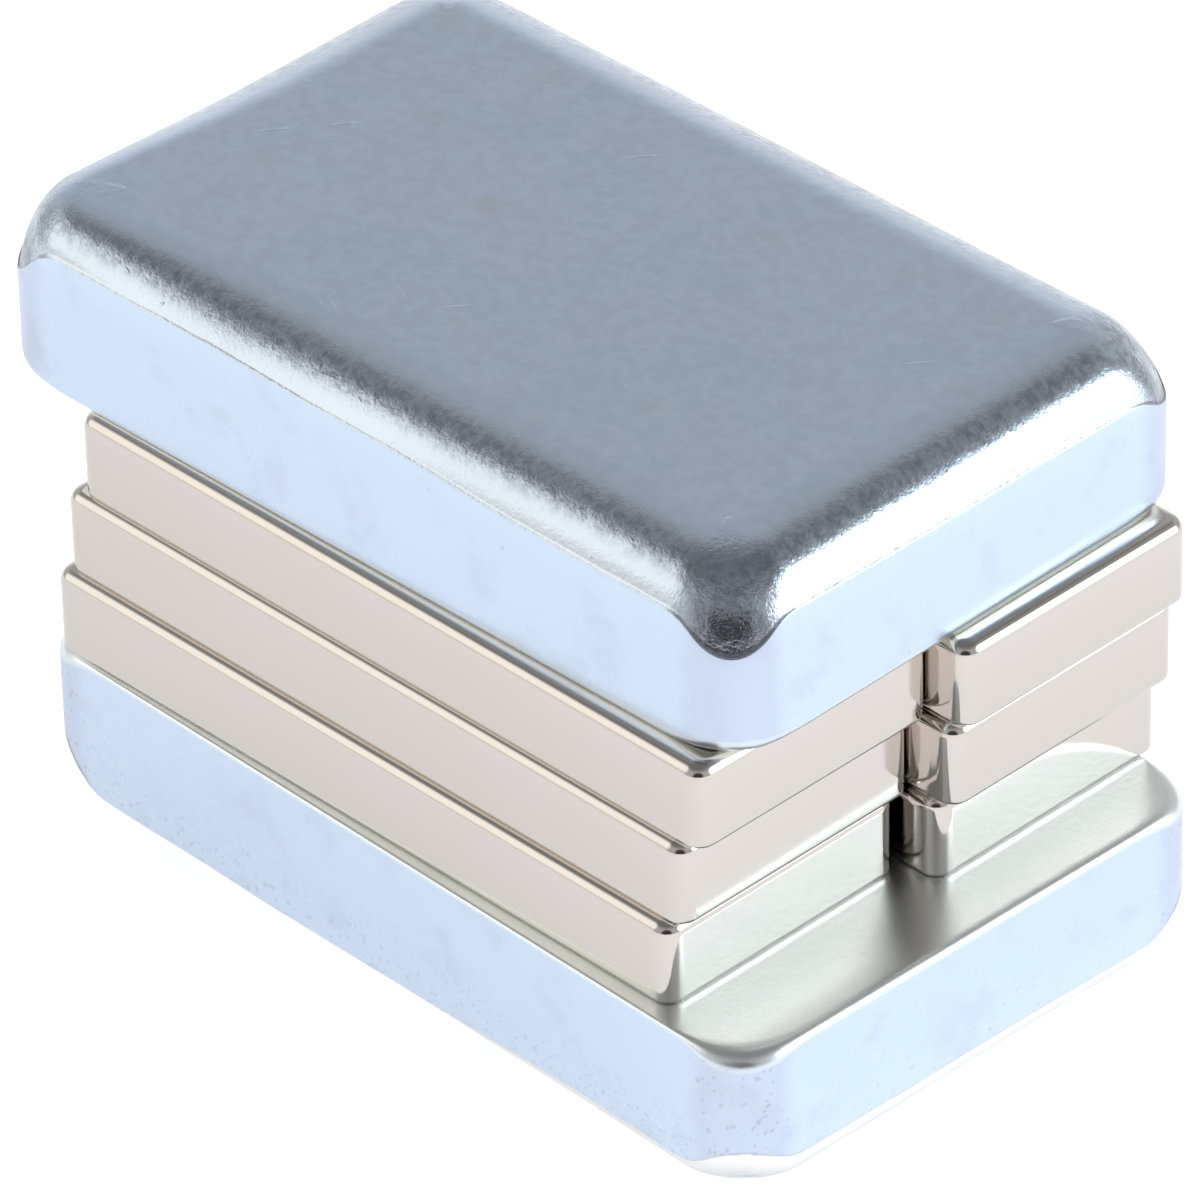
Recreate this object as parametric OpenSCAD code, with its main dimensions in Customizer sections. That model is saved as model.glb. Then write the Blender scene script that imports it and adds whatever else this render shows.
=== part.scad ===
// Block magnets clamped between two keeper plates, all lengths in millimetres.
// The frame: X along the lower plate, Y across it, Z up from its bottom face.
// Every piece is free: magnetism alone holds the stack, so each layer lies a little off the next.

/* [Keeper plates] */
// Length of a plate
plate_length = 32; // [24:0.5:48]
// Width of a plate
plate_width = 20; // [14:0.5:30]
// Thickness of a plate
plate_thickness = 6.3; // [4:0.1:10]
// Radius of a plate's four corners, seen from above
plate_corner_radius = 1.8; // [1:0.1:3]
// How far the rolled edge reaches in over the outer face
roll_inset = 2.8; // [2:0.1:3.5]
// How far the rolled edge drops at the middle of a side
roll_depth = 1.4; // [0.8:0.05:1.8]
// Corner radius of the flat patch that the rolled edge leaves on the outer face
flat_corner_radius = 0.3; // [0.1:0.05:1]

/* [Block magnets] */
// Length of a magnet
magnet_length = 27.4; // [20:0.1:31]
// Width of a magnet
magnet_width = 9.9; // [7:0.1:14]
// Thickness of a magnet, along its magnetic axis
magnet_thickness = 3; // [2:0.1:5]
// Radius of a magnet's four upright edges
magnet_corner_radius = 0.65; // [0.4:0.05:1.2]
// Radius of the edges round a magnet's two pole faces
magnet_edge_radius = 0.46; // [0.2:0.01:0.7]
// Gap between the two columns of magnets before any slip
column_gap = 0.1; // [0.1:0.05:1]

/* [Slip between the layers] */
// Shift of the upper plate from the lower plate, along X and Y
upper_plate_shift = [-2.39, 1.39]; // [-4:0.01:4]
// Turn of the upper plate against the lower plate, in degrees
upper_plate_turn = 1.85; // [-3:0.05:3]
// Turn of both columns of magnets against the lower plate, in degrees
magnet_turn = 1.05; // [-3:0.05:3]
// Shift of the front bottom magnet, along and across the columns
front_bottom_shift = [-1.57, 0.3]; // [-2:0.01:2]
// Shift of the front middle magnet, along and across the columns
front_middle_shift = [-1.24, 0.61]; // [-2:0.01:2]
// Shift of the front top magnet, along and across the columns
front_top_shift = [-0.65, 0.84]; // [-2:0.01:2]
// Shift of the rear bottom magnet, along and across the columns
rear_bottom_shift = [-0.22, 0.48]; // [-2:0.01:2]
// Shift of the rear middle magnet, along and across the columns
rear_middle_shift = [0.41, 0.56]; // [-2:0.01:2]
// Shift of the rear top magnet, along and across the columns
rear_top_shift = [0.73, 0.79]; // [-2:0.01:2]

/* [Hidden] */
$fn = 64;

bottom = 0;
middle = 1;
top = 2;
front = -1;
rear = 1;
layers = top + 1;

// The rolled edge is one circular arc, tangent to the outer face where the roll starts.
roll_radius = (pow(roll_inset, 2) + pow(roll_depth, 2)) / (2 * roll_depth);
// The same arc is turned about this radius at each corner, so the corners roll over deeper.
roll_corner_radius = roll_inset + flat_corner_radius;
// The turned corners reach past the plate's outline and are trimmed by it.
trim = plate_length + plate_width;

module rounded_rectangle(length, width, radius) {
    square([length - 2 * radius, width], center = true);
    square([length, width - 2 * radius], center = true);
    for (x = [-1, 1], y = [-1, 1])
        translate([x * (length / 2 - radius), y * (width / 2 - radius)])
            circle(r = radius);
}

// One half of a section through the rolled face: flat out to flat_reach, then the arc.
module rolled_section(flat_reach) {
    intersection() {
        translate([0, -trim])
            square([trim, trim + plate_thickness]);
        union() {
            translate([-trim, 0])
                square([trim + flat_reach, plate_thickness]);
            translate([flat_reach, plate_thickness - roll_radius])
                circle(r = roll_radius);
            translate([0, -trim])
                square([flat_reach + roll_radius, trim + plate_thickness - roll_radius]);
        }
    }
}

// A straight run of the rolled face, rolled at both of its X ends and as long in Y as run.
module rolled_run(reach, run) {
    for (side = [0, 1])
        mirror([side, 0, 0])
            translate([0, run / 2, 0])
                rotate([90, 0, 0])
                    linear_extrude(run)
                        rolled_section(reach - roll_inset);
}

module rolled_face() {
    rolled_run(plate_length / 2, plate_width - 2 * roll_corner_radius);
    rotate([0, 0, 90])
        rolled_run(plate_width / 2, plate_length - 2 * roll_corner_radius);
    for (x = [-1, 1], y = [-1, 1])
        translate([
            x * (plate_length / 2 - roll_corner_radius),
            y * (plate_width / 2 - roll_corner_radius),
            0
        ])
            rotate_extrude()
                rolled_section(flat_corner_radius);
}

// A blanked plate, rolled face up, with sharp cut edges round its bottom face.
module keeper_plate() {
    intersection() {
        linear_extrude(plate_thickness)
            rounded_rectangle(plate_length, plate_width, plate_corner_radius);
        rolled_face();
    }
}

// A magnet that lies on its lower pole face, with every edge rounded.
module block_magnet() {
    translate([0, 0, magnet_thickness / 2])
        intersection() {
            linear_extrude(magnet_thickness, center = true)
                rounded_rectangle(magnet_length, magnet_width, magnet_corner_radius);
            rotate([90, 0, 0])
                linear_extrude(magnet_width, center = true)
                    rounded_rectangle(magnet_length, magnet_thickness, magnet_edge_radius);
            rotate([90, 0, 90])
                linear_extrude(magnet_length, center = true)
                    rounded_rectangle(magnet_width, magnet_thickness, magnet_edge_radius);
        }
}

module stacked_magnet(column, layer, shift) {
    color([0.84, 0.81, 0.80])
        rotate([0, 0, magnet_turn])
            translate([
                shift.x,
                column * (magnet_width + column_gap) / 2 + shift.y,
                plate_thickness + layer * magnet_thickness
            ])
                block_magnet();
}

// The lower plate is turned over, so that its rolled edges face down.
module lower_keeper_plate() {
    color([0.70, 0.77, 0.85])
        translate([0, 0, plate_thickness])
            rotate([180, 0, 0])
                keeper_plate();
}

module upper_keeper_plate() {
    color([0.66, 0.71, 0.78])
        translate([
            upper_plate_shift.x,
            upper_plate_shift.y,
            plate_thickness + layers * magnet_thickness
        ])
            rotate([0, 0, upper_plate_turn])
                keeper_plate();
}

upper_keeper_plate();
lower_keeper_plate();
stacked_magnet(front, top, front_top_shift);  // front_magnet_top
stacked_magnet(front, middle, front_middle_shift);  // front_magnet_middle
stacked_magnet(front, bottom, front_bottom_shift);  // front_magnet_bottom
stacked_magnet(rear, top, rear_top_shift);  // rear_magnet_top
stacked_magnet(rear, middle, rear_middle_shift);  // rear_magnet_middle
stacked_magnet(rear, bottom, rear_bottom_shift);  // rear_magnet_bottom
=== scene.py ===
"""Looks of a self-held stack of block magnets between two keeper plates.

Six nickel plated block magnets lie in two columns between two zinc plated steel
plates. Each piece gets a detailed mesh in the place of its CAD node, and a
procedural finish. Lengths are in millimetres until a mesh is finished.
"""

import logging
import math
from dataclasses import dataclass, field
from enum import Enum
from typing import NamedTuple

import bmesh
import bpy
from mathutils import Matrix, Vector, noise


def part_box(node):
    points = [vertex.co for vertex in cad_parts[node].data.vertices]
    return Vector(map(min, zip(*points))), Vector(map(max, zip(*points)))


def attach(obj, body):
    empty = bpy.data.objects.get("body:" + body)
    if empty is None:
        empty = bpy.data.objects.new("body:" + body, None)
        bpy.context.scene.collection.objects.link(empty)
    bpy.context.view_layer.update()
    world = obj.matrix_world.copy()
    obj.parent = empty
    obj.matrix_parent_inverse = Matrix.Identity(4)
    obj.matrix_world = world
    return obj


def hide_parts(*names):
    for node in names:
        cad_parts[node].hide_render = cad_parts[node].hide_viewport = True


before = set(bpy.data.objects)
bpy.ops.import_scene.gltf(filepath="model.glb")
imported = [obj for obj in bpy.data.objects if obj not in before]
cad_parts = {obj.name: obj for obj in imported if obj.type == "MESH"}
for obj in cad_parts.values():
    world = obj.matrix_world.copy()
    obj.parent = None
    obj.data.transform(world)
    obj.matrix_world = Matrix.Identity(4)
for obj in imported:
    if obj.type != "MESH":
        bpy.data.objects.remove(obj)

LOG = logging.getLogger("block_magnet")
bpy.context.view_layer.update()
MM = 0.001
PHOTO_WIDTH = 1200.0
WHITE = (1.0, 1.0, 1.0, 1.0)

# Measures in millimetres that differ by less than NEAR count as equal, and vertices that lie
# closer than MERGE become one.
NEAR = 0.01
MERGE = 0.0005
BLOCK_FACES = 6

# The colour sockets of a Mix node share their names with others, so they go by number.
MIX_SHARE, MIX_FIRST, MIX_SECOND, MIX_RESULT = 0, 6, 7, 2

COLUMNS = ("front", "rear")
LAYERS = ("top", "middle", "bottom")

# The upper plate's turn against the lower one, in degrees.
UPPER_PLATE_TURN = 1.85

Colour = tuple[float, float, float]
Ramp = tuple[float, float]
Socket = bpy.types.NodeSocket


class Side(Enum):
    """Which way the rolled face of a keeper plate looks."""

    UP = 1
    DOWN = -1


class Tag(Enum):
    """Names of the mesh attributes: a place on the outline, and masks for the finishes and for the
    painted highlight on the plates' cut edge.
    """

    HOME = "home"
    ROLL = "roll"
    WALL = "wall"
    RIM = "rim"
    CORNER = "corner"


MASKS = (Tag.ROLL, Tag.WALL, Tag.RIM, Tag.CORNER)


def clamp(value: float, low: float, high: float) -> float:
    """Return value kept between low and high."""
    return max(low, min(high, value))


def smoothstep(low: float, high: float, value: float) -> float:
    """Return 0 below low, 1 above high and a smooth ramp between them."""
    share = clamp((value - low) / (high - low), 0.0, 1.0)
    return share * share * (3.0 - 2.0 * share)


def node_centre(node: str) -> Vector:
    """Return the middle of a CAD node's box, in millimetres."""
    low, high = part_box(node)
    return (Vector(low) + Vector(high)) / 2.0 / MM


def round_edges(mesh: bmesh.types.BMesh, edges: list[bmesh.types.BMEdge], radius: float,
                steps: int) -> None:
    """Round some edges of a mesh.

    Args:
        mesh: The mesh.
        edges: Its edges to round.
        radius: Their new radius.
        steps: How many facets each one gets.
    """
    bmesh.ops.bevel(mesh, geom=edges, offset=radius, offset_type="OFFSET", segments=steps,
                    profile=0.5, affect="EDGES", material=-1)


def object_of(mesh: bmesh.types.BMesh, name: str,
              material: bpy.types.Material) -> bpy.types.Object:
    """Turn a bmesh into an object of the scene.

    Args:
        mesh: The finished shape, in metres.
        name: The object's name.
        material: Its material.

    Returns:
        The new object, at the origin.
    """
    data = bpy.data.meshes.new(name)
    mesh.to_mesh(data)
    mesh.free()
    data.materials.append(material)
    made = bpy.data.objects.new(name, data)
    bpy.context.scene.collection.objects.link(made)
    return made


def finish_piece(mesh: bmesh.types.BMesh, node: str, place: Matrix,
                 material: bpy.types.Material) -> bpy.types.Object:
    """Turn a finished bmesh into a piece that stands for one CAD node.

    Args:
        mesh: The shape about its own middle, in millimetres.
        node: The CAD node that it stands for.
        place: The turn and shift to its place, in millimetres.
        material: The finish.

    Returns:
        The new object, at the origin, with its place in its mesh.
    """
    bmesh.ops.transform(mesh, matrix=Matrix.Scale(MM, 4) @ place, verts=mesh.verts)
    piece = object_of(mesh, node + "_skin", material)
    piece.data.polygons.foreach_set("use_smooth", [True] * len(piece.data.polygons))
    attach(piece, "root")
    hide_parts(node)
    return piece


class Row(NamedTuple):
    """One point of a plate's section: how far out, how high, and its four masks."""

    reach: float
    height: float
    roll: float = 0.0
    wall: float = 0.0
    rim: float = 0.0
    corner: float = 0.0


# The row at the crease lies in and down by these shares of the crease's radius.
CREASE = Row(0.3, 0.25, roll=0.95, wall=0.5, rim=0.6)


@dataclass
class KeeperPlate:
    """A blanked steel plate, rolled over round one face and sharp round the other.

    The roll is an arc that narrows and deepens round the plate, and its lip is the further
    drop of its outermost part. A ramp's two limits are shares of the half length or width.
    """

    length: float = 32.0
    width: float = 20.0
    thickness: float = 6.3
    corner_radius: float = 1.8
    roll_inset: float = 2.8
    narrow_inset: float = 1.7
    narrow_along: Ramp = (-0.3, -1.0)
    narrow_across: Ramp = (0.2, -1.0)
    mean_roll: float = 1.25
    roll_wander: float = 0.07
    wander_length: float = 5.0
    ripple_rate: float = 0.9
    ripple_share: float = 0.3
    steepest_bend: float = 0.96
    side_lip: float = 0.38
    end_lip: float = 0.58
    end_lip_growth: float = 0.12
    lip_along: Ramp = (-0.4, 0.7)
    lip_power: int = 9
    corner_depth: float = 2.65
    corner_power: float = 1.3
    flat_corner_radius: float = 0.3
    patch_overlap: float = 0.8
    side_edge_radius: float = 0.12
    end_edge_radius: float = 0.27
    end_band: Ramp = (0.92, 1.0)
    corner_edge_radius: float = 0.6
    edge_margin: float = 1.5
    crease_radius: float = 0.08
    wall_margin: float = 0.1
    corner_steps: int = 20
    side_pitch: float = 0.35
    edge_steps: int = 6
    wall_steps: int = 5
    roll_steps: int = 26
    row_crowding: float = 1.3

    def spine(self, place: Vector) -> Vector:
        """Find the point inside the plate that the roll at a place fans out from.

        Args:
            place: A place on the outline.

        Returns:
            The point, on the plane z = 0.
        """
        inset = self.roll_inset + self.flat_corner_radius
        reach_x = self.length / 2.0 - inset
        reach_y = self.width / 2.0 - inset
        return Vector((clamp(place.x, -reach_x, reach_x), clamp(place.y, -reach_y, reach_y), 0.0))

    def along(self, home: Vector) -> float:
        """Return a place's share of the half length, with its sign."""
        return home.x / (self.length / 2.0)

    def across(self, home: Vector) -> float:
        """Return a place's share of the half width, with its sign."""
        return home.y / (self.width / 2.0)

    def at_end(self, home: Vector) -> float:
        """Return 1 where the outline runs across a short end, and 0 along a long side."""
        return smoothstep(*self.end_band, abs(self.along(home)))

    def roll_depth(self, home: Vector) -> float:
        """Find how deep the roll's arc is away from the corners.

        Args:
            home: A place on the outline.

        Returns:
            The depth, which wanders a little round the plate.
        """
        wander = noise.noise(home / self.wander_length)
        ripple = noise.noise(home * self.ripple_rate) * self.ripple_share
        return self.mean_roll + self.roll_wander * (wander + ripple)

    def lip_depth(self, home: Vector) -> float:
        """Find how much further the outermost part of the roll drops, towards one end.

        Args:
            home: A place on the outline.

        Returns:
            The further drop.
        """
        share = smoothstep(*self.lip_along, self.along(home))
        end_lip = self.end_lip + self.end_lip_growth * self.across(home)
        return share * (self.side_lip + (end_lip - self.side_lip) * self.at_end(home))

    def edge_radius(self, home: Vector, corner: float) -> float:
        """Find the rounding of the cut edge, which is larger at the ends and corners.

        Args:
            home: A place on the outline.
            corner: How near to a corner it is.

        Returns:
            The radius.
        """
        growth = self.end_edge_radius - self.side_edge_radius
        radius = self.side_edge_radius + growth * self.at_end(home)
        return radius + (self.corner_edge_radius - radius) * corner

    def roll_start(self, home: Vector) -> float:
        """Find how much of the inset stays flat, as the roll narrows towards one corner.

        Args:
            home: A place on the outline.

        Returns:
            The flat share of the inset.
        """
        narrow = 1.0 - self.narrow_inset / self.roll_inset
        near_end = smoothstep(*self.narrow_along, self.along(home))
        return narrow * near_end * smoothstep(*self.narrow_across, self.across(home))

    def corner_share(self, reach: float) -> float:
        """Find how near to a corner the outline is.

        Args:
            reach: How far out from the flat patch the outline lies.

        Returns:
            0 on a side, and 1 at the middle of a corner.
        """
        inset = self.roll_inset + self.flat_corner_radius - self.corner_radius
        farthest = inset * math.sqrt(2.0) + self.corner_radius - self.flat_corner_radius
        return clamp((reach - self.roll_inset) / (farthest - self.roll_inset), 0.0, 1.0)

    def outline(self) -> bmesh.types.BMesh:
        """Cut the plate's outline, finely along its sides.

        Returns:
            One flat face, whose vertices remember their places.
        """
        mesh = bmesh.new()
        home = mesh.verts.layers.float_vector.new(Tag.HOME.value)
        for tag in MASKS:
            mesh.verts.layers.float.new(tag.value)
        bmesh.ops.create_grid(mesh, x_segments=1, y_segments=1, size=0.5)
        bmesh.ops.scale(mesh, vec=(self.length, self.width, 1.0), verts=mesh.verts)
        bmesh.ops.bevel(mesh, geom=mesh.verts[:], offset=self.corner_radius, offset_type="OFFSET",
                        segments=self.corner_steps, profile=0.5, affect="VERTICES", material=-1)
        for length in (self.length, self.width):
            straight = length - 2.0 * self.corner_radius
            sides = [edge for edge in mesh.edges if abs(edge.calc_length() - straight) < NEAR]
            bmesh.ops.bisect_edges(mesh, edges=sides, cuts=round(straight / self.side_pitch))
        for vert in mesh.verts:
            vert[home] = vert.co.copy()
        return mesh

    def edge_rows(self, full: float, edge: float, corner: float) -> list[Row]:
        """Lay out the cut edge, from the cut face to the wall.

        Args:
            full: Reach of the wall.
            edge: Radius of the edge.
            corner: How near to a corner it is.

        Returns:
            Its rows of the section.
        """
        rows = [Row(full - self.edge_margin * edge, 0.0, wall=1.0, rim=1.0, corner=corner)]
        for step in range(self.edge_steps + 1):
            share = step / self.edge_steps
            turn = math.pi / 2.0 * share
            rows.append(Row(full - edge * (1.0 - math.sin(turn)), edge * (1.0 - math.cos(turn)),
                            wall=1.0, rim=1.0 - 0.5 * share, corner=corner))
        return rows

    def wall_rows(self, full: float, edge: float, crest: float, corner: float) -> list[Row]:
        """Lay out the upright wall and the crease over it.

        Args:
            full: Reach of the wall.
            edge: Radius of the cut edge below it.
            crest: Height at which the roll meets it.
            corner: How near to a corner it is.

        Returns:
            Its rows of the section.
        """
        foot = edge + self.wall_margin
        rise = crest - self.crease_radius - foot
        rows = [Row(full, foot + rise * step / self.wall_steps, wall=1.0, corner=corner)
                for step in range(self.wall_steps + 1)]
        rows.append(Row(full - CREASE.reach * self.crease_radius,
                        crest - CREASE.height * self.crease_radius,
                        CREASE.roll, CREASE.wall, CREASE.rim, corner))
        return rows

    def roll_rows(self, full: float, start: float, depth: float, lip: float,
                  corner: float) -> list[Row]:
        """Lay out the roll's arc, with its lip, and the flat face inside it.

        Args:
            full: Reach of the wall.
            start: Reach at which the arc starts.
            depth: How deep the arc drops.
            lip: How much further its outermost part drops.
            corner: How near to a corner it is.

        Returns:
            Its rows of the section.
        """
        arc = full - self.crease_radius
        width = arc - start
        bend = min(self.steepest_bend, 2.0 * width * depth / (width**2 + depth**2))
        drop_share = depth / (1.0 - math.sqrt(1.0 - bend**2))
        rows = []
        for step in range(self.roll_steps + 1):
            reach = arc * (1.0 - (step / self.roll_steps) ** self.row_crowding)
            share = max(0.0, reach - start) / width
            drop = drop_share * (1.0 - math.sqrt(1.0 - (bend * share) ** 2))
            drop += lip * share**self.lip_power
            rows.append(Row(reach, self.thickness - drop, roll=share, corner=corner))
        rows.append(Row(-self.patch_overlap * self.flat_corner_radius, self.thickness))
        return rows

    def section(self, home: Vector) -> list[Row]:
        """Lay out the plate's section at one place of its outline.

        Args:
            home: The place on the outline.

        Returns:
            Rows from the cut face up and in to the flat patch.
        """
        full = (home - self.spine(home)).length - self.flat_corner_radius
        corner = self.corner_share(full)
        edge = self.edge_radius(home, corner)
        side_depth = self.roll_depth(home)
        depth = side_depth + (self.corner_depth - side_depth) * corner**self.corner_power
        lip = self.lip_depth(home) * (1.0 - corner)
        crest = self.thickness - depth - lip
        start = full * self.roll_start(home)
        return (self.edge_rows(full, edge, corner) + self.wall_rows(full, edge, crest, corner)
                + self.roll_rows(full, start, depth, lip, corner))

    def blank(self) -> bmesh.types.BMesh:
        """Sweep the section round the outline.

        Returns:
            The plate, rolled face up, with its cut face on the plane z = 0.
        """
        mesh = self.outline()
        home = mesh.verts.layers.float_vector[Tag.HOME.value]
        layers = [mesh.verts.layers.float[tag.value] for tag in MASKS]
        cap = mesh.faces[:][0]
        sections: dict[tuple[float, float], list[Row]] = {}
        for row in range(len(self.section(cap.verts[0][home]))):
            if row > 0:
                below = cap
                made = bmesh.ops.extrude_face_region(mesh, geom=[below])
                cap = next(item for item in made["geom"] if isinstance(item, bmesh.types.BMFace))
                if row > 1:
                    bmesh.ops.delete(mesh, geom=[below], context="FACES_ONLY")
            for vert in cap.verts:
                key = (round(vert[home].x, 5), round(vert[home].y, 5))
                if key not in sections:
                    sections[key] = self.section(vert[home])
                reach, height, *masks = sections[key][row]
                spine = self.spine(vert[home])
                out = (vert[home] - spine).normalized()
                vert.co = spine + out * (self.flat_corner_radius + reach)
                vert.co.z = height
                for layer, mask in zip(layers, masks):
                    vert[layer] = mask
        bmesh.ops.recalc_face_normals(mesh, faces=mesh.faces)
        return mesh

    def build(self, node: str, side: Side, turn: float,
              material: bpy.types.Material) -> bpy.types.Object:
        """Build one plate in the place of its CAD node.

        Args:
            node: The CAD node that it stands for.
            side: Which way its rolled face looks.
            turn: Its turn about the vertical, in degrees.
            material: Its finish.

        Returns:
            The finished piece.
        """
        flip = Matrix.Rotation(math.pi if side is Side.DOWN else 0.0, 4, "X")
        middle = Matrix.Translation((0.0, 0.0, -self.thickness / 2.0))
        turned = Matrix.Rotation(math.radians(turn), 4, "Z")
        place = Matrix.Translation(node_centre(node)) @ turned @ flip @ middle
        return finish_piece(self.blank(), node, place, material)


@dataclass
class BlockMagnet:
    """A plated block magnet, with every edge rounded and the under ones less.

    It is turned about the vertical, by some degrees, against the lower plate.
    """

    length: float = 27.4
    width: float = 9.9
    thickness: float = 3.0
    corner_radius: float = 0.65
    edge_radius: float = 0.46
    under_radius: float = 0.2
    flat_margin: float = 0.05
    rim_fade: float = 0.3
    corner_steps: int = 10
    edge_steps: int = 8
    turn: float = 1.05

    def block(self) -> bmesh.types.BMesh:
        """Round every edge of a plain block.

        Returns:
            The block about its own middle.
        """
        mesh = bmesh.new()
        rim = mesh.verts.layers.float.new(Tag.RIM.value)
        bmesh.ops.create_cube(mesh, size=1.0)
        bmesh.ops.scale(mesh, vec=(self.length, self.width, self.thickness), verts=mesh.verts)
        upright = [edge for edge in mesh.edges
                   if abs(edge.verts[0].co.z - edge.verts[1].co.z) > NEAR]
        round_edges(mesh, upright, self.corner_radius, self.corner_steps)
        pole = self.thickness / 2.0 - NEAR
        for side, radius in ((1.0, self.edge_radius), (-1.0, self.under_radius)):
            rims = [edge for edge in mesh.edges
                    if all(vert.co.z * side > pole for vert in edge.verts)]
            round_edges(mesh, rims, radius, self.edge_steps)
        bmesh.ops.remove_doubles(mesh, verts=mesh.verts, dist=MERGE)
        flats = sorted(mesh.faces, key=lambda face: face.calc_area())[-BLOCK_FACES:]
        bmesh.ops.inset_individual(mesh, faces=flats, thickness=self.flat_margin,
                                   use_even_offset=True)
        wall_height = self.thickness / 2.0 - self.edge_radius
        fade = self.rim_fade * self.edge_radius
        for vert in mesh.verts:
            vert[rim] = smoothstep(0.0, fade, abs(vert.co.z) - wall_height)
        bmesh.ops.recalc_face_normals(mesh, faces=mesh.faces)
        return mesh

    def build(self, node: str, material: bpy.types.Material) -> bpy.types.Object:
        """Build one magnet in the place of its CAD node.

        Args:
            node: The CAD node that it stands for.
            material: Its finish.

        Returns:
            The finished piece.
        """
        turn = Matrix.Rotation(math.radians(self.turn), 4, "Z")
        place = Matrix.Translation(node_centre(node)) @ turn
        return finish_piece(self.block(), node, place, material)


class Nodes:
    """A short way to lay out and wire one node tree."""

    def __init__(self, tree: bpy.types.NodeTree) -> None:
        """Keep the tree and empty it."""
        self.tree = tree
        tree.nodes.clear()

    def feed(self, socket: Socket, value: object) -> None:
        """Wire an output to an input socket, or set the input's own value.

        Args:
            socket: The input socket.
            value: An output socket, or a value.
        """
        if isinstance(value, bpy.types.NodeSocket):
            self.tree.links.new(value, socket)
        else:
            socket.default_value = value

    def add(self, kind: str, inputs: dict | None = None, **settings: object) -> bpy.types.Node:
        """Add a node, set its properties, and set or wire its inputs.

        Args:
            kind: The node's type name.
            inputs: Values or output sockets by the input's name or number.
            **settings: Properties of the node itself.

        Returns:
            The new node.
        """
        node = self.tree.nodes.new(kind)
        for name, value in settings.items():
            setattr(node, name, value)
        for name, value in (inputs or {}).items():
            self.feed(node.inputs[name], value)
        return node

    def math(self, operation: str, first: object, second: object = 0.0,
             third: object = 0.0, clamped: bool = False) -> Socket:
        """Add a Math node.

        Args:
            operation: The operation's name.
            first: The first value or socket.
            second: The second value or socket.
            third: The third, where the operation has one.
            clamped: Whether to keep the result from 0 to 1.

        Returns:
            Its output.
        """
        node = self.add("ShaderNodeMath", {0: first, 1: second, 2: third},
                        operation=operation, use_clamp=clamped)
        return node.outputs[0]

    def multiply(self, first: object, second: object) -> Socket:
        """Return the product of two values or sockets."""
        return self.math("MULTIPLY", first, second)

    def vector_math(self, operation: str, first: object, second: object,
                    third: object = (0.0, 0.0, 0.0)) -> bpy.types.Node:
        """Return a Vector Math node."""
        return self.add("ShaderNodeVectorMath", {0: first, 1: second, 2: third},
                        operation=operation)

    def effect(self, group: bpy.types.NodeTree, **inputs: object) -> Socket:
        """Place a shared pattern with its own values and return its mask."""
        return self.add("ShaderNodeGroup", inputs, node_tree=group).outputs[0]

    def ramp(self, value: object, low: object, high: object, start: object = 0.0,
             end: object = 1.0) -> Socket:
        """Add a smooth step.

        Args:
            value: The value or socket that it follows.
            low: Where it begins.
            high: Where it is complete.
            start: Its result at low.
            end: Its result at high.

        Returns:
            Its output.
        """
        node = self.add("ShaderNodeMapRange", {"Value": value, "From Min": low, "From Max": high,
                        "To Min": start, "To Max": end}, interpolation_type="SMOOTHSTEP")
        return node.outputs["Result"]

    def mix(self, share: object, first: object, second: object) -> Socket:
        """Add a colour Mix node.

        Args:
            share: How much of the second colour shows.
            first: The first colour or socket.
            second: The second colour or socket.

        Returns:
            Its output.
        """
        node = self.add("ShaderNodeMix", data_type="RGBA", blend_type="MIX")
        self.feed(node.inputs[MIX_SHARE], share)
        for index, colour in ((MIX_FIRST, first), (MIX_SECOND, second)):
            plain = not isinstance(colour, bpy.types.NodeSocket)
            self.feed(node.inputs[index], (*colour, 1.0) if plain else colour)
        return node.outputs[MIX_RESULT]

    def noise(self, place: object, scale: object, detail: float = 2.0,
              roughness: float = 0.5) -> Socket:
        """Add a Noise Texture.

        Args:
            place: Where a point lies.
            scale: How fine the noise is.
            detail: How many finer layers it has.
            roughness: How strong they are.

        Returns:
            Its value.
        """
        node = self.add("ShaderNodeTexNoise", {"Vector": place, "Scale": scale, "Detail": detail,
                        "Roughness": roughness})
        return node.outputs["Fac"]


@dataclass(frozen=True)
class Patches:
    """Soft patches: how fine they are, the ramp that cuts them out, and their strength."""

    scale: float
    low: float
    high: float
    strength: float = 1.0


@dataclass(frozen=True)
class Specks:
    """Specks, one in each of a share of the cells of a scale, and their size in a cell."""

    scale: float
    size: float
    share: float


@dataclass(frozen=True)
class Scratches:
    """Scratches: their angle, how finely they lie along and across it, and their share."""

    angle: float
    share: float
    along: float = 450.0
    across: float = 4500.0


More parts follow.
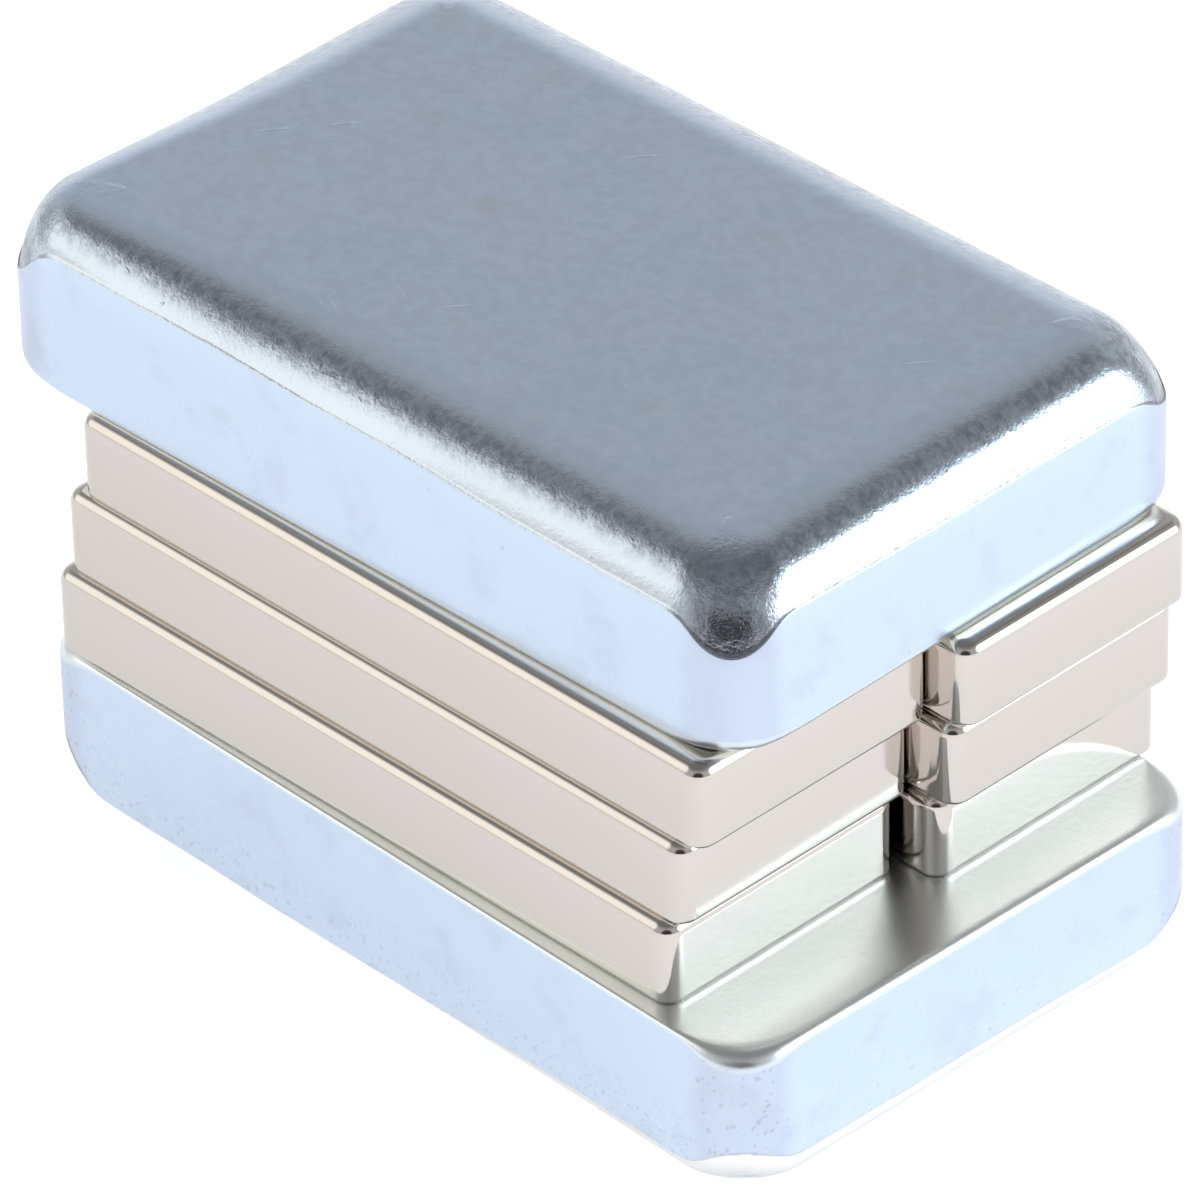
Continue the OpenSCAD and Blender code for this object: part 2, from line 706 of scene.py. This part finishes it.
class Effects:
    """Patterns that the finishes share, each kept as one shader node group."""

    FINER_GRAIN = 2.6
    FINE_GRAIN_SHARE = 0.5
    SPOT_SHARPNESS = 8.0
    SPECK_WOBBLE = 0.0002
    WOBBLE_RATE = 2.0
    SCRATCH_SIZE = 0.26

    def __init__(self) -> None:
        """Build every group once."""
        self.grain = self.make_grain()
        self.blotches = self.make_blotches()
        self.specks = self.make_specks()
        self.scratches = self.make_scratches()

    def start(self, name: str, *values: str) -> tuple[Nodes, list[Socket]]:
        """Start a group that takes a place and some values and gives one mask.

        Args:
            name: The group's name.
            *values: Names of its number inputs.
        """
        tree = bpy.data.node_groups.new(name, "ShaderNodeTree")
        tree.interface.new_socket(name="Place", in_out="INPUT", socket_type="NodeSocketVector")
        for value in values:
            tree.interface.new_socket(name=value, in_out="INPUT", socket_type="NodeSocketFloat")
        tree.interface.new_socket(name="Mask", in_out="OUTPUT", socket_type="NodeSocketFloat")
        kit = Nodes(tree)
        given = kit.add("NodeGroupInput")
        return kit, [given.outputs[value] for value in ("Place", *values)]

    def close(self, kit: Nodes, mask: Socket) -> bpy.types.NodeTree:
        """Wire the mask to the group's output and return the group."""
        kit.add("NodeGroupOutput", {"Mask": mask})
        return kit.tree

    def make_grain(self) -> bpy.types.NodeTree:
        """Make a fine, irregular grain in two layers.

        Returns:
            Its group.
        """
        kit, (place, scale) = self.start("fine_grain", "Scale")
        coarse = kit.noise(place, scale, roughness=0.6)
        fine = kit.noise(place, kit.multiply(scale, self.FINER_GRAIN), roughness=0.6)
        share = kit.multiply(fine, self.FINE_GRAIN_SHARE)
        return self.close(kit, kit.math("ADD", coarse, share))

    def make_blotches(self) -> bpy.types.NodeTree:
        """Make soft patches, which grow from a low to a high value of a noise.

        Returns:
            Their group.
        """
        kit, (place, scale, low, high) = self.start("soft_blotches", "Scale", "Low", "High")
        cloud = kit.noise(place, scale, detail=3.0, roughness=0.55)
        return self.close(kit, kit.ramp(cloud, low, high))

    def spots(self, kit: Nodes, place: Socket, scale: object, size: object,
              share: Socket) -> Socket:
        """Scatter round spots over the cells of a scale.

        Args:
            kit: The group's node kit.
            place: Where a point lies.
            scale: How fine the cells are.
            size: A spot's size in its cell.
            share: The share of the cells that have one.

        Returns:
            Their mask.
        """
        cells = kit.add("ShaderNodeTexVoronoi", {"Vector": place, "Scale": scale})
        near = kit.math("SUBTRACT", size, cells.outputs["Distance"])
        spot = kit.math("MULTIPLY", near, self.SPOT_SHARPNESS, clamped=True)
        chance = kit.add("ShaderNodeSeparateColor", {0: cells.outputs["Color"]}).outputs[0]
        return kit.multiply(spot, kit.math("LESS_THAN", chance, share))

    def make_specks(self) -> bpy.types.NodeTree:
        """Make scattered specks of an uneven shape.

        Returns:
            Their group.
        """
        kit, (place, scale, size, share) = self.start("specks", "Scale", "Size", "Share")
        wobble = kit.noise(place, kit.multiply(scale, self.WOBBLE_RATE))
        bent = kit.vector_math("MULTIPLY_ADD", wobble, [self.SPECK_WOBBLE] * 3, place)
        return self.close(kit, self.spots(kit, bent.outputs["Vector"], scale, size, share))

    def make_scratches(self) -> bpy.types.NodeTree:
        """Make short scratches that run one way across a level face.

        Returns:
            Their group.
        """
        kit, (place, angle, along, across, share) = self.start(
            "scratches", "Angle", "Along", "Across", "Share")
        turned = kit.add("ShaderNodeVectorRotate", {"Vector": place, "Angle": angle},
                         rotation_type="Z_AXIS").outputs[0]
        stretch = kit.add("ShaderNodeCombineXYZ", {"X": along, "Y": across, "Z": across})
        scaled = kit.vector_math("MULTIPLY", turned, stretch.outputs[0]).outputs["Vector"]
        return self.close(kit, self.spots(kit, scaled, 1.0, self.SCRATCH_SIZE, share))


class Plating:
    """A plated metal under work: its material, the shared patterns, the place and the masks."""

    def __init__(self, name: str, effects: Effects, tags: tuple[Tag, ...]) -> None:
        """Start an empty material.

        Args:
            name: The material's name.
            effects: The shared patterns.
            tags: The mesh attributes that it reads.
        """
        self.material = bpy.data.materials.new(name)
        self.material.use_nodes = True
        self.effects = effects
        self.kit = Nodes(self.material.node_tree)
        self.place = self.kit.add("ShaderNodeTexCoord").outputs["Object"]
        self.masks = {
            tag: self.kit.add("ShaderNodeAttribute", attribute_name=tag.value).outputs["Fac"]
            for tag in tags}

    def ramp(self, tag: Tag, limits: Ramp) -> Socket:
        """Return a mask's smooth step between two limits."""
        return self.kit.ramp(self.masks[tag], *limits)

    def both(self, first: Tag, first_limits: Ramp, second: Tag, second_limits: Ramp) -> Socket:
        """Return the product of two masks' smooth steps."""
        return self.kit.multiply(self.ramp(first, first_limits), self.ramp(second, second_limits))

    def patches(self, look: Patches) -> Socket:
        """Place soft patches.

        Args:
            look: Their settings.

        Returns:
            Their mask, times their strength.
        """
        mask = self.kit.effect(self.effects.blotches, Place=self.place, Scale=look.scale,
                               Low=look.low, High=look.high)
        return self.kit.multiply(mask, look.strength)

    def specks(self, look: Specks) -> Socket:
        """Return the mask of scattered specks."""
        return self.kit.effect(self.effects.specks, Place=self.place, Scale=look.scale,
                               Size=look.size, Share=look.share)

    def scratches(self, look: Scratches) -> Socket:
        """Return the mask of scratches."""
        return self.kit.effect(self.effects.scratches, Place=self.place, Angle=look.angle,
                               Along=look.along, Across=look.across, Share=look.share)

    def grain(self, scale: float) -> Socket:
        """Return the height of the grain."""
        return self.kit.effect(self.effects.grain, Place=self.place, Scale=scale)

    def close(self, colour: Socket, roughness: object, height: Socket,
              relief: float) -> bpy.types.Material:
        """Wire up the metal.

        Args:
            colour: Its colour.
            roughness: Its roughness, as a value or a socket.
            height: The height of its relief, from 0 to about 1.
            relief: How high 1 stands, in metres.

        Returns:
            The finished material.
        """
        bump = self.kit.add("ShaderNodeBump", {"Height": height, "Strength": 1.0,
                            "Distance": relief})
        shader = self.kit.add("ShaderNodeBsdfPrincipled", {
            "Base Color": colour, "Metallic": 1.0, "Roughness": roughness,
            "Normal": bump.outputs["Normal"]})
        self.kit.add("ShaderNodeOutputMaterial", {"Surface": shader.outputs[0]})
        return self.material


@dataclass(frozen=True)
class ZincFinish:
    """Bright zinc plating on a blanked steel plate, blued by its passivation.

    A ramp is the pair of values between which a mask or a height takes effect. Heights and
    the relief are in metres, and a pattern's scale counts its cells in a metre.
    """

    name: str
    face: Colour = (0.62, 0.72, 0.90)
    roll: Colour = (0.63, 0.71, 0.80)
    wall: Colour = (0.68, 0.80, 0.98)
    smear: Colour = (0.15, 0.14, 0.17)
    # Painted highlight: the cut face and its rounded edge are painted near white, far brighter
    # than the plating.
    cut: Colour = (0.94, 0.99, 0.985)
    smudge: Colour = (0.62, 0.62, 0.66)
    green_cast: Colour = (0.60, 0.73, 0.82)
    lilac: Colour = (0.60, 0.67, 0.83)
    pit: Colour = (0.30, 0.34, 0.42)
    wear: float = 0.62
    smudges: Patches = Patches(420.0, 0.60, 0.72, 0.3)
    greens: Patches = Patches(260.0, 0.45, 0.70, 0.35)
    mottle: Patches = Patches(2200.0, 0.35, 0.68, 0.12)
    roll_tint: Ramp = (0.1, 0.7)
    band_start: Ramp = (0.3, 0.62)
    band_end: Ramp = (0.93, 0.72)
    soot: Patches = Patches(3000.0, 0.40, 0.66, 0.50)
    soot_ground: float = 0.18
    rub: Patches = Patches(900.0, 0.25, 0.60)
    foot_corner: Ramp = (0.25, 0.7)
    foot_roll: Ramp = (0.72, 0.92)
    streaks: Patches = Patches(520.0, 0.50, 0.72, 0.45)
    stain_corner: Ramp = (0.05, 0.7)
    stain_strength: float = 0.75
    low_heights: Ramp = (0.0048, 0.0010)
    low_crowd: float = 0.75
    corner_crowd: Ramp = (0.0, 0.6)
    corner_heights: Ramp = (0.0068, 0.0060)
    spots: Specks = Specks(2600.0, 0.32, 0.25)
    small_spots: Specks = Specks(5200.0, 0.38, 0.35)
    few_spots: Specks = Specks(900.0, 0.09, 0.10)
    dirt_strength: float = 0.55
    wall_edge: Ramp = (0.3, 0.9)
    cut_highlight_rim: Ramp = (0.3, 0.9)
    cut_highlight_wall: Ramp = (0.7, 1.0)
    dust: Specks = Specks(800.0, 0.08, 0.15)
    dust_strength: float = 0.35
    grain_scale: float = 4200.0
    flat_grain: float = 0.18
    roll_grain: float = 0.45
    roll_grain_ramp: Ramp = (0.05, 0.5)
    corner_grain: float = 0.8
    corner_grain_ramp: Ramp = (0.0, 0.8)
    scratches: tuple[Scratches, ...] = (Scratches(0.5, 0.015), Scratches(2.2, 0.008))
    scratch_height: float = 0.5
    roughness: float = 0.24
    rim_roughness: float = 0.08
    roll_roughness: float = -0.04
    roll_roughness_ramp: Ramp = (0.1, 0.6)
    haze: Patches = Patches(300.0, 0.35, 0.75, 0.06)
    relief: float = 0.00002

    def paint_face(self, metal: Plating) -> Socket:
        """Paint the flat face with its smudges, green cast and mottle.

        Args:
            metal: The plating under work.

        Returns:
            Its colour.
        """
        colour = metal.kit.mix(metal.patches(self.smudges), self.face, self.smudge)
        colour = metal.kit.mix(metal.patches(self.greens), colour, self.green_cast)
        return metal.kit.mix(metal.patches(self.mottle), colour, self.pit)

    def paint_roll(self, metal: Plating, face: Socket) -> Socket:
        """Paint the roll: its tint, a dull band along it and the smear at its corner feet.

        Args:
            metal: The plating under work.
            face: Colour of the flat face.

        Returns:
            The colour of both.
        """
        kit = metal.kit
        colour = kit.mix(metal.ramp(Tag.ROLL, self.roll_tint), face, self.roll)
        band = metal.both(Tag.ROLL, self.band_start, Tag.ROLL, self.band_end)
        dull = kit.math("ADD", metal.patches(self.soot), self.soot_ground)
        colour = kit.mix(kit.multiply(dull, band), colour, self.pit)
        foot = metal.both(Tag.CORNER, self.foot_corner, Tag.ROLL, self.foot_roll)
        rubbed = kit.multiply(foot, metal.patches(self.rub))
        return kit.mix(kit.multiply(rubbed, self.wear), colour, self.smear)

    def paint_wall(self, metal: Plating) -> Socket:
        """Paint the walls: lilac stains, and spots that crowd low down and at the corners.

        Args:
            metal: The plating under work.

        Returns:
            Their colour.
        """
        kit = metal.kit
        height = kit.add("ShaderNodeSeparateXYZ", {0: metal.place}).outputs["Z"]
        nearness = kit.multiply(metal.ramp(Tag.CORNER, self.stain_corner), self.stain_strength)
        stain = kit.math("ADD", metal.patches(self.streaks), nearness, clamped=True)
        colour = kit.mix(stain, self.wall, self.lilac)
        low = kit.multiply(kit.ramp(height, *self.low_heights), self.low_crowd)
        corner = kit.multiply(metal.ramp(Tag.CORNER, self.corner_crowd),
                              kit.ramp(height, *self.corner_heights))
        spots = kit.math("MAXIMUM", metal.specks(self.spots), metal.specks(self.small_spots))
        crowded = kit.multiply(spots, kit.math("MAXIMUM", low, corner))
        dirt = kit.math("MAXIMUM", crowded, metal.specks(self.few_spots))
        return kit.mix(kit.multiply(dirt, self.dirt_strength), colour, self.pit)

    def paint(self, metal: Plating) -> Socket:
        """Paint the whole plate.

        Args:
            metal: The plating under work.

        Returns:
            Its colour.
        """
        kit = metal.kit
        colour = self.paint_roll(metal, self.paint_face(metal))
        colour = kit.mix(metal.ramp(Tag.WALL, self.wall_edge), colour, self.paint_wall(metal))
        # The cut face and its rounded edge take the painted highlight: near white, fading out up
        # the rounding towards the wall.
        cut = metal.both(Tag.RIM, self.cut_highlight_rim, Tag.WALL, self.cut_highlight_wall)
        colour = kit.mix(cut, colour, self.cut)
        dust = kit.multiply(metal.specks(self.dust), self.dust_strength)
        return kit.mix(dust, colour, self.pit)

    def roughen(self, metal: Plating) -> Socket:
        """Find how rough the plating is, with a haze and a smoother roll.

        Args:
            metal: The plating under work.

        Returns:
            Its roughness.
        """
        kit = metal.kit
        ground = kit.math("MULTIPLY_ADD", metal.masks[Tag.RIM], self.rim_roughness, self.roughness)
        rolled = metal.ramp(Tag.ROLL, self.roll_roughness_ramp)
        smooth = kit.math("MULTIPLY_ADD", rolled, self.roll_roughness, ground)
        return kit.math("ADD", metal.patches(self.haze), smooth)

    def emboss(self, metal: Plating) -> Socket:
        """Raise the grain and the scratches, which the walls are free of.

        Args:
            metal: The plating under work.

        Returns:
            The height of the relief.
        """
        kit = metal.kit
        rough = kit.multiply(metal.ramp(Tag.ROLL, self.roll_grain_ramp), self.roll_grain)
        worn = kit.multiply(metal.ramp(Tag.CORNER, self.corner_grain_ramp), self.corner_grain)
        off_wall = kit.math("LESS_THAN", metal.masks[Tag.WALL], 0.5)
        amount = kit.multiply(kit.math("ADD", rough, worn), off_wall)
        grain = metal.grain(self.grain_scale)
        height = kit.multiply(grain, kit.math("ADD", amount, self.flat_grain))
        for look in self.scratches:
            lines = kit.multiply(metal.scratches(look), off_wall)
            height = kit.math("ADD", height, kit.multiply(lines, self.scratch_height))
        return height

    def material(self, effects: Effects) -> bpy.types.Material:
        """Dress a plate.

        Args:
            effects: The shared patterns.

        Returns:
            Its material.
        """
        metal = Plating(self.name, effects, MASKS)
        return metal.close(self.paint(metal), self.roughen(metal), self.emboss(metal), self.relief)


@dataclass(frozen=True)
class NickelFinish:
    """Bright nickel plating on a sintered magnet."""

    name: str = "bright_nickel_plating"
    plating: Colour = (0.72, 0.668, 0.626)
    pink: Colour = (0.735, 0.668, 0.66)
    edge: Colour = (0.68, 0.645, 0.605)
    pinks: Patches = Patches(220.0, 0.35, 0.65)
    grain_scale: float = 700.0
    grain_height: float = 0.08
    roughness: float = 0.09
    relief: float = 0.00002

    def material(self, effects: Effects) -> bpy.types.Material:
        """Dress a magnet.

        Args:
            effects: The shared patterns.

        Returns:
            Its material.
        """
        metal = Plating(self.name, effects, (Tag.RIM,))
        colour = metal.kit.mix(metal.patches(self.pinks), self.plating, self.pink)
        colour = metal.kit.mix(metal.masks[Tag.RIM], colour, self.edge)
        height = metal.kit.multiply(metal.grain(self.grain_scale), self.grain_height)
        return metal.close(colour, self.roughness, height, self.relief)


@dataclass(frozen=True)
class Panel:
    """A soft panel of the studio, seen in the metal.

    It stands in one direction from the object, is full out to its inner angle from there and
    fades away by its outer one. Angles are in degrees.
    """

    azimuth: float
    elevation: float
    inner: float
    outer: float
    colour: Colour

    @property
    def direction(self) -> Vector:
        """Find the way from the object to the panel's middle.

        Returns:
            A unit vector.
        """
        turn, rise = math.radians(self.azimuth), math.radians(self.elevation)
        return Vector((math.cos(turn) * math.cos(rise), math.sin(turn) * math.cos(rise),
                       math.sin(rise)))


@dataclass
class Studio:
    """A pale room with large soft panels, and a floor that keeps a faint shadow.

    Lengths are in metres. The floor's glow is brighter to the eye than in the metal, where it
    grows from its first to its second strength along one direction.
    """

    wall: Colour = (0.53, 0.53, 0.53)
    floor_colour: Colour = (0.86, 0.86, 0.86)
    floor_size: float = 0.6
    glow_seen: float = 0.60
    glow_mirrored: Ramp = (0.38, 0.45)
    glow_direction: tuple[float, float, float] = (0.74, 0.67, 0.0)
    glow_reach: float = 0.02
    lamp_size: float = 0.5
    lamp_power: float = 1.8
    lamp_place: tuple[float, float, float] = (0.08, 0.06, 0.75)
    panels: tuple[Panel, ...] = field(default_factory=lambda: (
        Panel(0.0, 90.0, 25.0, 62.0, (0.20, 0.20, 0.20)),
        Panel(136.0, 45.0, 5.0, 38.0, (0.47, 0.47, 0.47)),
        Panel(141.0, -10.0, 15.0, 42.0, (0.90, 0.90, 0.90)),
        Panel(225.0, 23.5, 12.0, 29.0, (1.34, 1.30, 1.22)),
        Panel(38.0, 15.0, 17.5, 24.0, (3.00, 3.30, 3.40)),
        Panel(233.0, 1.0, 5.0, 11.0, (0.95, 0.91, 0.84)),
        Panel(-46.0, 8.0, 18.0, 32.0, (0.06, 0.055, 0.05)),
    ))

    def light_room(self) -> None:
        """Make the world that the metal mirrors and that lights the scene."""
        world = bpy.data.worlds.new("studio")
        bpy.context.scene.world = world
        world.use_nodes = True
        kit = Nodes(world.node_tree)
        way = kit.add("ShaderNodeTexCoord").outputs["Generated"]
        colour = self.wall
        for panel in self.panels:
            dot = kit.vector_math("DOT_PRODUCT", way, panel.direction).outputs["Value"]
            mask = kit.ramp(dot, math.cos(math.radians(panel.outer)),
                            math.cos(math.radians(panel.inner)))
            colour = kit.mix(mask, colour, panel.colour)
        room = kit.add("ShaderNodeBackground", {"Color": colour, "Strength": 1.0})
        white = kit.add("ShaderNodeBackground", {"Color": WHITE, "Strength": 1.0})
        path = kit.add("ShaderNodeLightPath")
        shown = kit.add("ShaderNodeMixShader", {0: path.outputs["Is Camera Ray"],
                        1: room.outputs[0], 2: white.outputs[0]})
        kit.add("ShaderNodeOutputWorld", {"Surface": shown.outputs[0]})

    def floor_material(self) -> bpy.types.Material:
        """Mix the floor's paint with its glow.

        Returns:
            The material.
        """
        material = bpy.data.materials.new("pale_floor")
        material.use_nodes = True
        kit = Nodes(material.node_tree)
        paint = kit.add("ShaderNodeBsdfDiffuse", {"Color": (*self.floor_colour, 1.0)})
        path = kit.add("ShaderNodeLightPath")
        place = kit.add("ShaderNodeTexCoord").outputs["Object"]
        along = kit.vector_math("DOT_PRODUCT", place, self.glow_direction).outputs["Value"]
        glow = kit.ramp(along, -self.glow_reach, self.glow_reach, *self.glow_mirrored)
        mirrored = kit.multiply(path.outputs["Is Glossy Ray"], glow)
        strength = kit.math("MULTIPLY_ADD", path.outputs["Is Camera Ray"], self.glow_seen,
                            mirrored)
        shine = kit.add("ShaderNodeEmission", {"Color": WHITE, "Strength": strength})
        both = kit.add("ShaderNodeAddShader", {0: paint.outputs[0], 1: shine.outputs[0]})
        kit.add("ShaderNodeOutputMaterial", {"Surface": both.outputs[0]})
        return material

    def lay_floor(self) -> None:
        """Lay the pale floor under the stack."""
        mesh = bmesh.new()
        bmesh.ops.create_grid(mesh, x_segments=1, y_segments=1, size=self.floor_size / 2.0)
        floor = object_of(mesh, "floor", self.floor_material())

    def hang_lamp(self) -> None:
        """Hang one large soft lamp over the stack, which the metal doesn't mirror."""
        lamp = bpy.data.lights.new("overhead", "AREA")
        lamp.shape = "DISK"
        lamp.size = self.lamp_size
        lamp.energy = self.lamp_power
        overhead = bpy.data.objects.new("overhead", lamp)
        overhead.location = self.lamp_place
        overhead.visible_glossy = False
        bpy.context.scene.collection.objects.link(overhead)


@dataclass
class PhotoCamera:
    """The camera, at the photograph's viewing angle.

    Angles are in degrees and lengths in millimetres. The focal length and the shift of the
    picture's centre are in pixels of the photograph.
    """

    azimuth: float = 47.39
    elevation: float = 35.35
    distance: float = 338.19
    roll: float = -1.425
    target: tuple[float, float, float] = (-0.698, 0.499, 9.218)
    focal_pixels: float = 10881.7
    centre_right: float = -8.8
    centre_down: float = -26.5
    sensor: float = 36.0
    nearest: float = 10.0
    farthest: float = 20000.0

    def place(self) -> None:
        """Create the camera and make it the scene's own."""
        turn, rise, lean = (math.radians(angle) for angle in
                            (self.azimuth, self.elevation, self.roll))
        back = Vector((math.sin(turn) * math.cos(rise), -math.cos(turn) * math.cos(rise),
                       math.sin(rise)))
        right = Vector((math.cos(turn), math.sin(turn), 0.0))
        up = back.cross(right)
        lean_right = right * math.cos(lean) + up * math.sin(lean)
        lean_up = up * math.cos(lean) - right * math.sin(lean)
        eye = Vector(self.target) + back * self.distance
        pixel = self.distance / self.focal_pixels
        aim = Vector(self.target) + lean_right * (self.centre_right * pixel)
        aim -= lean_up * (self.centre_down * pixel)
        back = (eye - aim).normalized()
        lean_up = back.cross(lean_right).normalized()
        lean_right = lean_up.cross(back)
        data = bpy.data.cameras.new("camera")
        data.sensor_width = self.sensor
        data.lens = self.focal_pixels / PHOTO_WIDTH * self.sensor
        data.clip_start = self.nearest * MM
        data.clip_end = self.farthest * MM
        camera = bpy.data.objects.new("camera", data)
        pose = Matrix((lean_right, lean_up, back)).transposed().to_4x4()
        camera.matrix_world = Matrix.Translation(eye * MM) @ pose
        bpy.context.scene.collection.objects.link(camera)
        bpy.context.scene.camera = camera


def main() -> None:
    """Build the stack, light it, aim the camera and report each piece."""
    logging.basicConfig(level=logging.INFO)
    bpy.context.scene.view_settings.view_transform = "Standard"
    effects = Effects()
    worn_zinc = ZincFinish("worn_zinc_plating").material(effects)
    # A lighter copy of the same zinc for the lower plate. Its roll faces the floor, in the shade
    # under the stack, and is painted near white as a painted reflection of the bright floor. Its
    # pits are painted lighter too, and it has no smear.
    zinc_with_painted_light = ZincFinish("zinc_plating_with_painted_light", roll=(0.97, 0.98, 0.99),
                             pit=(0.45, 0.48, 0.56), wear=0.0).material(effects)
    nickel = NickelFinish().material(effects)
    plate = KeeperPlate()
    magnet = BlockMagnet()
    pieces = [plate.build("upper_keeper_plate", Side.UP, UPPER_PLATE_TURN, worn_zinc),
              plate.build("lower_keeper_plate", Side.DOWN, 0.0, zinc_with_painted_light)]
    pieces += [magnet.build(f"{column}_magnet_{layer}", nickel)
               for column in COLUMNS for layer in LAYERS]
    for piece in pieces:
        LOG.info("%s: %d faces", piece.name, len(piece.data.polygons))
    studio = Studio()
    studio.light_room()
    studio.lay_floor()
    studio.hang_lamp()
    PhotoCamera().place()


if __name__ == "__main__":
    main()
